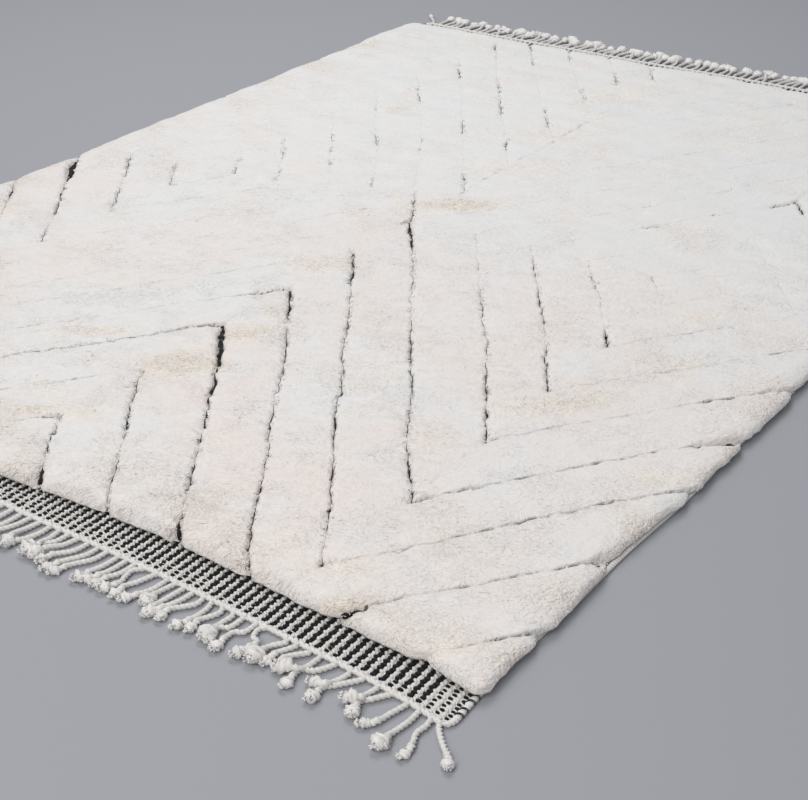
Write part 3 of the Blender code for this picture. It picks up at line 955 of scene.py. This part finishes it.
def flat_end(name, end):
    """A flatwoven end: a ribbed white ground, and a grain of wool for each weft float on it."""
    way = end["way"]
    ribs = round(2 * HALF_WIDTH / RIB_PITCH)
    across = np.linspace(-1, 1, ribs * 4 + 1)
    out = np.linspace(-UNDER_PILE, end["band"] + 0.004, 9)[:, None]
    y = way * (pile_end(across * HALF_WIDTH, end) + out)
    if way < 0:
        y = y[::-1]
    x = across * side_edge(y)
    z = BAND_TOP - 0.0008 * np.cos(across * ribs * 2 * math.pi) + 0 * y
    points, faces = cloth(np.stack([x, y, z], axis=-1), 0.0)
    centres, sizes, turns, colours = [], [], [], []
    rows = int((end["band"] + UNDER_PILE * 0.4) / GRAIN_PITCH)
    for column in range(2 * ribs):
        share = (column + 0.5) / (2 * ribs) * 2 - 1
        black = column % 2
        phase = rng.uniform(-0.12, 0.12)
        for row in range(rows + 1):
            out = end["band"] - (row + 0.35 + 0.5 * black + phase) * GRAIN_PITCH
            if out < -UNDER_PILE * 0.5:
                continue
            y = way * (pile_end(share * HALF_WIDTH, end) + out + rng.normal(0, 0.0004))
            x = share * side_edge(y) + rng.normal(0, 0.0005) + (0.0009 if row % 2 else -0.0009)
            if black:
                fat = 0.93 + 0.14 * (1 - min(max(out / end["band"], 0), 1)) + rng.normal(0, 0.06)
                if column > 2 * ribs - 6 or column < 5:
                    fat *= 0.80
                long, wide = BLACK_GRAIN
                sizes.append((long * fat, wide * fat, 0.0034 if x < 0.3 else 0.0031))
                turns.append(rng.normal(-0.08, 0.12))
                centres.append((x, y, BAND_TOP - 0.0004))
            else:
                long, wide, tall = WHITE_GRAIN
                sizes.append((long * rng.uniform(0.92, 1.1), wide * rng.uniform(0.92, 1.08), tall))
                turns.append(0.60 * way + rng.normal(0, 0.10))
                centres.append((x, y, BAND_TOP - 0.0001))
            colours.append(black)
    grains_made = grains(np.array(centres), np.array(sizes), np.array(turns))
    x, y, z = points[faces].mean(axis=1).T
    in_column = np.floor((x / side_edge(y) + 1) * ribs).astype(int)
    depth = (way * y - pile_end(x, end)) / end["band"]
    packed = 0.40 * ease(x, 0.1, 0.6) + 1.1 * (0.66 - depth) + 0.30 * hills(x, y, 0.03, 45) > 0.22
    packed &= (in_column >= PLAIN_COLUMNS) & (in_column < 2 * ribs - PLAIN_COLUMNS)
    ground = (in_column % 2 == 1) & packed & (z > 0.001)
    finish_of = np.concatenate([ground, np.repeat(colours, len(grain_faces))]).astype(np.int32)
    every_part = joined([(points, faces.tolist()), grains_made])
    piece = wool_piece(name, *every_part, [white_weft, black_wool], finish_of)
    return piece


near_flat_end = flat_end("flat_end_near", ENDS["near"])
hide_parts("end_band_near")
far_flat_end = flat_end("flat_end_far", ENDS["far"])
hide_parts("end_band_far")


# The fringes: a twined heading locks the last pick, and the warp ends beyond it are twisted
# together into white wool cords, each knotted and left to fluff out at its tip.
white_cord = wool("white_cord", (0.89, 0.88, 0.86), (0.79, 0.77, 0.74), 240, 0.0009)
fluffy_tip = wool("fluffy_tip", (0.95, 0.94, 0.92), (0.88, 0.86, 0.83), 150, 0.0018)
CORDS = 88
TWIST_PITCH = 0.0240
STRANDS = 3
HEADING_WIDTH = 0.010
FRINGE_COLUMNS = ("cord_radius", "step", "sides", "wisps", "reach")
FRINGE_ROWS = {"near": (0.0051, 0.0016, 9, 18, 0.100), "far": (0.0058, 0.0026, 6, 8, 0.080)}
FRINGES = {name: dict(zip(FRINGE_COLUMNS, row)) for name, row in FRINGE_ROWS.items()}


def smooth_path(points, step):
    """A smooth line through the points, in even steps."""
    points = np.array(points, dtype=float)
    padded = np.concatenate([[2 * points[0] - points[1]], points, [2 * points[-1] - points[-2]]])
    fine = []
    for a, b, c, d in zip(padded[:-3], padded[1:-2], padded[2:-1], padded[3:]):
        t = np.linspace(0, 1, 24, endpoint=False)[:, None]
        bend = (2 * a - 5 * b + 4 * c - d) * t**2 + (3 * b - a - 3 * c + d) * t**3
        fine.append(0.5 * (2 * b + (c - a) * t + bend))
    fine = np.concatenate([*fine, points[-1:]])
    run = np.concatenate([[0], np.cumsum(np.linalg.norm(np.diff(fine, axis=0), axis=1))])
    even = np.linspace(0, run[-1], max(6, round(run[-1] / step) + 1))
    return np.stack([np.interp(even, run, fine[:, i]) for i in range(3)], axis=-1), even


def cord(route, make, tuft, tuft_length, round_tuft):
    """A cord along a route: twisted, thicker at its knot, and loosened into a tuft at its tip."""
    flat = [(x, y, 0.0) for x, y, *_ in route]
    thick = make["cord_radius"]
    sides = make["sides"]
    centre, run = smooth_path(flat, make["step"])
    lift = np.array([(*p, 0.0)[2] for p in route])
    marks = [run[np.argmin(np.linalg.norm(centre - p, axis=1))] for p in np.array(flat)]
    lifted = np.interp(run, marks, lift)
    fluff = np.clip((run - run[-1] + tuft_length) / tuft_length, 0, 1)
    if round_tuft:
        brush = np.sqrt(np.clip(1 - (2 * fluff - 1) ** 2, 0, 1)) ** 0.8
    else:
        rounded_tip = np.sqrt(1 - np.clip((fluff - 0.62) / 0.38, 0, 1) ** 2.5)
        brush = (0.42 + 0.58 * ease(fluff, 0.05, 0.62)) * rounded_tip
    radius = np.where(fluff > 0, np.maximum(thick * (1 - ease(fluff, 0, 0.5)), tuft * brush), thick)
    knot = bell(run - (run[-1] - tuft_length - 0.001), 0.0055)
    radius = np.maximum(radius, thick * (1 + 0.30 * knot))
    radius[-1] = 0.0008
    around = (np.arange(sides) / sides + 0.5 / STRANDS) * (2 * math.pi)
    turned = rng.uniform(0, 2 * math.pi) - run[:, None] * (2 * math.pi / TWIST_PITCH)
    strands = 0.56 + 0.44 * np.abs(np.cos(0.5 * STRANDS * around)) ** 0.5
    around = around[None, :] + turned
    fibres = around * radius[:, None] * 0.8 + 9 * turned[0]
    loose = 1 + 0.52 * hills(fibres, run[:, None] + 0 * around, 0.0062, 52)
    loose = loose + rng.normal(0, 0.09, loose.shape)
    share = ease(fluff, 0.0, 0.25)[:, None]
    shape = strands * (1 - share) + loose * share
    across = frame_along(centre)[1]
    flatten = np.where(fluff > 0, 0.74, 1.0)
    ring_x = np.cos(around) * radius[:, None] * shape
    ring_z = np.sin(around) * radius[:, None] * shape * flatten[:, None]
    rest = np.maximum(radius * flatten * 0.92, thick * 0.92) + lifted
    centre[:, 2] = np.convolve(np.pad(rest, 3, mode="edge"), np.ones(7) / 7, mode="valid")
    points = centre[:, None] + across[:, None] * ring_x[:, :, None]
    points[:, :, 2] = np.maximum(points[:, :, 2] + ring_z, 0.0004)
    faces = tube_faces(np.arange(len(centre) * sides).reshape(-1, sides))
    fluffy = np.repeat(fluff[:-1] > 0.12, sides).astype(np.int32).tolist() + [0, 1]
    return (points.reshape(-1, 3), faces), fluffy, centre


def heading(end, z=0.0048):
    """The twined heading: two thick white yarns that cross over between every two warps."""
    way = end["way"]
    x = np.arange(-HALF_WIDTH - 0.002, HALF_WIDTH + 0.002, 0.0030)
    runs = []
    for strand in (0, math.pi):
        angle = x * (2 * math.pi / 0.0205) + strand
        out = heading_edge(x, end) + 0.0044 + 0.0024 * np.sin(angle)
        centre = np.stack([x, way * out, z + 0.0014 * np.cos(angle)], axis=-1)
        runs.append((centre, np.full(len(x), 0.0030)))
    return tubes(runs, 6)


# The near fringe from its right corner on, in millimetres: where each cord leaves the heading,
# its way over the floor, and the size of its tuft (below zero where the tuft is a round ball).
NEAR_CORDS = (
    (975, ((985, -1410), (1005, -1430), (1024, -1446), (1036, -1464)), 9),
    (962, ((965, -1412), (963, -1432), (972, -1456), (973, -1482)), 8),
    (940, ((941, -1418), (936, -1452), (935, -1488)), -13),
    (915, ((918, -1392), (911, -1420), (905, -1444), (888, -1462)), 9),
    (892, ((886, -1390), (872, -1411), (862, -1424), (869, -1458)), -11),
    (862, ((864, -1390), (860, -1410), (862, -1421, 6), (838, -1434)), -12),
    (838, ((833, -1390), (815, -1414), (802, -1432), (803, -1466)), -11),
    (811, ((813, -1390), (808, -1410), (803, -1426, 6), (778, -1432)), 10),
    (785, ((783, -1386), (770, -1408), (751, -1420), (756, -1462)), 10),
    (757, ((757, -1390), (755, -1410), (750, -1424, 6), (718, -1432)), -13),
    (732, ((737, -1382), (716, -1410), (722, -1440)), 9),
    (706, ((712, -1382), (700, -1410), (700, -1440)), 9),
    (682, ((695, -1382), (681, -1406), (680, -1448)), -15),
    (652, ((643, -1382), (648, -1400), (664, -1412, 5), (652, -1450)), 11),
    (632, ((630, -1398), (616, -1412), (619, -1456)), 10),
    (607, ((605, -1402), (592, -1414), (600, -1448)), 10),
    (582, ((590, -1382), (588, -1404), (590, -1448)), -14),
    (560, ((569, -1386), (556, -1418), (560, -1446)), 10),
    (540, ((547, -1390), (545, -1418), (536, -1452)), 10),
    (523, ((525, -1390), (501, -1424), (505, -1450)), 10),
    (503, ((500, -1396), (490, -1424), (478, -1450)), 10),
    (484, ((480, -1400), (477, -1428), (482, -1456)), 10),
    (466, ((458, -1404), (462, -1438)), -13),
    (448, ((446, -1398), (436, -1424), (424, -1448)), 10),
    (424, ((414, -1398), (405, -1420), (408, -1450)), 10),
    (401, ((386, -1382), (388, -1402), (392, -1418), (380, -1448)), 11),
    (378, ((376, -1396), (366, -1420), (362, -1448)), 10),
    (360, ((358, -1396), (352, -1420), (340, -1446)), 10),
    (342, ((340, -1396), (334, -1420), (328, -1452)), 11),
    (318, ((314, -1396), (296, -1426), (284, -1462)), 10),
    (298, ((296, -1394), (278, -1428), (268, -1462)), 10),
    (276, ((272, -1396), (252, -1424), (246, -1452)), 10),
    (254, ((246, -1396), (236, -1418, 5), (222, -1452)), -13),
    (232, ((228, -1396), (214, -1418), (208, -1450)), -14),
    (210, ((214, -1396), (216, -1418, 5), (232, -1446)), 12),
)


def laid_cords(end, make, first, side):
    """Cords left to lie as they fall: single, crossing in pairs or tied two and two."""
    way = end["way"]
    pitch = 2 * HALF_WIDTH / CORDS
    laid = []
    number = first
    while number < CORDS:
        kind = str(rng.choice(["single", "crossed", "tied", "swept"], p=(0.42, 0.16, 0.18, 0.24)))
        count = 2 if kind in ("crossed", "tied") and number < CORDS - 1 else 1
        roots = [side * (HALF_WIDTH - pitch * (number + 0.5 + i)) for i in range(count)]
        lean = 0.012 * hills(np.array(roots[0]), np.array(way * 1.0), 0.21, 51) - 0.006 * side
        for i, root in enumerate(roots):
            start = way * (heading_edge(root, end) + 0.004)
            long = make["reach"] * rng.uniform(0.84, 1.04)
            hand = (side if i == 0 else -side) * (count == 2)
            bow = rng.normal(0, 0.003) + (0.006 * hand if kind == "tied" else -0.003 * hand)
            if kind == "crossed":
                end_x = root - hand * pitch * 0.9 + lean
            elif kind == "tied":
                end_x = root - hand * pitch * 0.30 + lean
            else:
                end_x = root + lean * (2.2 if kind == "swept" else 1.0) + rng.normal(0, 0.004)
            over = 0.005 if count == 2 and i == 1 else 0.0
            middle = (root + bow + lean * 0.2, start + way * long * 0.34, 0.0)
            knot = (root * 0.35 + end_x * 0.65 + bow, start + way * long * 0.66, over)
            tip_x = end_x + rng.normal(0, 0.004) - hand * (0.010 if kind == "tied" else 0.0)
            tip = (tip_x, start + way * long, 0.0)
            size = rng.uniform(0.0100, 0.0140) * (1.15 if way > 0 else 1.0)
            laid.append(([(root, start), middle, knot, tip], size, rng.random() < 0.35))
        number += count
    return laid


def fringe(name, end, make, laid):
    """A whole fringe: the heading and every cord, with its tuft and stray wisps, in one piece."""
    parts = [heading(end)]
    colours = [0] * len(parts[0][1])
    starts, ways = [], []
    for route, size, is_round in laid:
        length = 2.1 * size if is_round else 0.024
        shape, fluffy, centre = cord(route, make, size, length, is_round)
        parts.append(shape)
        colours.extend(fluffy)
        ahead = centre[-1] - centre[-5]
        ahead /= np.linalg.norm(ahead)
        middle = centre[-4] if is_round else centre[-3]
        for _ in range(make["wisps"]):
            spread = rng.normal(0, 1, 3) * (1, 1, 0.7) + ahead * (0.4 if is_round else 1.3)
            spread[2] = abs(spread[2])
            spread /= np.linalg.norm(spread)
            starts.append(middle + spread * size * 0.62)
            ways.append(spread + (0, 0, 0.15))
    starts, ways = np.array(starts), np.array(ways)
    starts[:, 2] = np.maximum(starts[:, 2], 0.0032)
    thick = rng.uniform(0.0015, 0.0028, len(starts))
    parts.append(locks(starts, ways, rng.uniform(0.0024, 0.0056, len(starts)), thick, 0.0))
    colours.extend([1] * len(parts[-1][1]))
    piece = wool_piece(name, *joined(parts), [white_cord, fluffy_tip], colours)
    return piece


near_laid = []
for root, way_points, size in NEAR_CORDS:
    start = (root / 1000, -heading_edge(root / 1000, ENDS["near"]) - 0.004)
    route = [start] + [tuple(value / 1000 for value in point) for point in way_points]
    near_laid.append((route, abs(size) / 1000, size < 0))
near_laid += laid_cords(ENDS["near"], FRINGES["near"], len(NEAR_CORDS), 1)
near_fringe = fringe("fringe_cords_near", ENDS["near"], FRINGES["near"], near_laid)
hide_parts("fringe_near")
far_root = -HALF_WIDTH + 0.010
far_start = heading_edge(far_root, ENDS["far"]) + 0.004
far_splayed = [(far_root, far_start)]
for x, out in ((-0.985, 0.02), (-1.006, 0.042), (-1.033, 0.072)):
    far_splayed.append((x, far_start + out))
far_laid = [(far_splayed, 0.0085, False)] + laid_cords(ENDS["far"], FRINGES["far"], 1, -1)
far_fringe = fringe("fringe_cords_far", ENDS["far"], FRINGES["far"], far_laid)
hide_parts("fringe_far")


# The selvedges: the outer warps, wrapped over and over with thick white wool as the rug is woven.
# At the corners pairs of thin black threads lie between the wraps.
SELVEDGE_WIDTH = 0.0125
SELVEDGE_HEIGHT = 0.0093
WRAP_PITCH = 0.0064
WRAP_SIDES = 7
WRAP_SHAPE = ((0.0, 0.56), (0.18, 0.87), (0.5, 1.0), (0.82, 0.87))
THREAD_RADIUS = 0.00075
CLEAR_OF_PILE = 0.0003


def selvedge(name, side):
    """A wrapped side: one closed oval body that swells at every wrap, and its black threads."""
    low = -heading_edge(HALF_WIDTH, ENDS["near"]) - 0.5 * HEADING_WIDTH
    high = heading_edge(side * HALF_WIDTH, ENDS["far"]) + 0.5 * HEADING_WIDTH
    wraps = int((high - low) / WRAP_PITCH)
    shares, swells = np.array(WRAP_SHAPE).T
    y = (low + WRAP_PITCH * (np.arange(wraps)[:, None] + shares)).ravel()
    around = np.arange(WRAP_SIDES) * (2 * math.pi / WRAP_SIDES)
    swell = np.tile(swells, wraps)[:, None] + 0 * around
    cap = np.ones(len(y))
    cap[[0, -1]] = 0.35
    curved_in = 0.007 * np.clip(1 - np.minimum(y - low, high - y) / 0.018, 0, 1) ** 2
    half_wide, half_high = SELVEDGE_WIDTH / 2, SELVEDGE_HEIGHT / 2
    x = side * (side_edge(y) - curved_in + CLEAR_OF_PILE + half_wide)[:, None]
    x = x + np.cos(around) * swell * cap[:, None] * half_wide
    z = half_high + np.sin(around) * swell * cap[:, None] * half_high
    slant = 0.0010 * side * np.cos(around) + y[:, None]
    points = np.stack([x, slant, z], axis=-1).reshape(-1, 3)
    body = (points, tube_faces(np.arange(len(points)).reshape(len(y), -1)))
    turn = np.linspace(-0.3, math.pi + 0.3, 9)
    runs = []
    for corner_y, inward in ((low, 1), (high, -1)):
        for n in (4, 6, 9, 11):
            for twin in (-0.0011, 0.0011):
                centre_y = corner_y + inward * (n * WRAP_PITCH + 0.002) + twin
                middle_x = side * (side_edge(centre_y) + CLEAR_OF_PILE + half_wide)
                thread_y = centre_y + 0.0016 * np.cos(turn) * side
                thread_z = half_high + np.sin(turn) * 0.0046
                thread = np.stack([middle_x + np.cos(turn) * 0.0058, thread_y, thread_z], axis=-1)
                runs.append((thread, np.full(len(turn), THREAD_RADIUS)))
    threads = tubes(runs, 5, start=0.0, upright=(0.0, 1.0, 0.0))
    finish_of = [0] * len(body[1]) + [1] * len(threads[1])
    piece = wool_piece(name, *joined([body, threads]), [white_cord, black_wool], finish_of)
    return piece


left_selvedge = selvedge("wrapped_edge_left", -1)
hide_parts("selvedge_left")
right_selvedge = selvedge("wrapped_edge_right", 1)
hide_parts("selvedge_right")
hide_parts("pile_field")


# The stage: a plain pale floor, a soft light overhead and the camera of the photograph.
# None of it is part of the rug.
bpy.ops.mesh.primitive_plane_add(size=24.0, location=(0, 0, 0))
floor = bpy.context.object
floor.name = "floor"
bpy.ops.object.transform_apply(location=True, rotation=True, scale=True)
floor_paint = bpy.data.materials.new("floor_paint")
floor_paint.use_nodes = True
paint = floor_paint.node_tree.nodes["Principled BSDF"]
paint.inputs["Base Color"].default_value = (0.36, 0.37, 0.40, 1)
paint.inputs["Roughness"].default_value = 0.75
floor.data.materials.append(floor_paint)

sky = bpy.data.worlds.new("studio")
sky.use_nodes = True
sky.node_tree.nodes["Background"].inputs["Color"].default_value = (0.95, 0.97, 1.0, 1)
sky.node_tree.nodes["Background"].inputs["Strength"].default_value = 0.35
bpy.context.scene.world = sky
for name, place, size, power, colour in (
    ("overhead", (-1.5, 0.9, 4.2), 3.0, 112, (1.0, 1.0, 1.0)),
    ("front_fill", (1.0, -4.2, 3.2), 2.6, 93, (1.0, 0.96, 0.93)),
):
    lamp = bpy.data.lights.new(name, "AREA")
    lamp.shape = "SQUARE"
    lamp.size = size
    lamp.energy = power
    lamp.color = colour
    light = bpy.data.objects.new(name, lamp)
    light.location = place
    towards = Vector((0, -0.2, 0)) - Vector(place)
    light.rotation_euler = towards.to_track_quat("-Z", "Y").to_euler()
    bpy.context.scene.collection.objects.link(light)

CAMERA_PLACE = (1.894, -2.7246, 1.4148)
YAW, PITCH, ROLL = -0.63175, 0.51249, -0.0106
forward = Vector((math.sin(YAW) * math.cos(PITCH), math.cos(YAW) * math.cos(PITCH), -math.sin(PITCH)))
right = Vector((math.cos(YAW), -math.sin(YAW), 0))
up = right.cross(forward)
right_rolled = right * math.cos(ROLL) + up * math.sin(ROLL)
up_rolled = right_rolled.cross(forward)
lens = bpy.data.cameras.new("camera")
lens.lens = 69.06
lens.sensor_width = 36.0
camera = bpy.data.objects.new("camera", lens)
turned = Matrix((right_rolled, up_rolled, -forward)).transposed().to_4x4()
camera.matrix_world = Matrix.Translation(CAMERA_PLACE) @ turned
bpy.context.scene.collection.objects.link(camera)
bpy.context.scene.camera = camera
bpy.context.scene.view_settings.view_transform = "Standard"
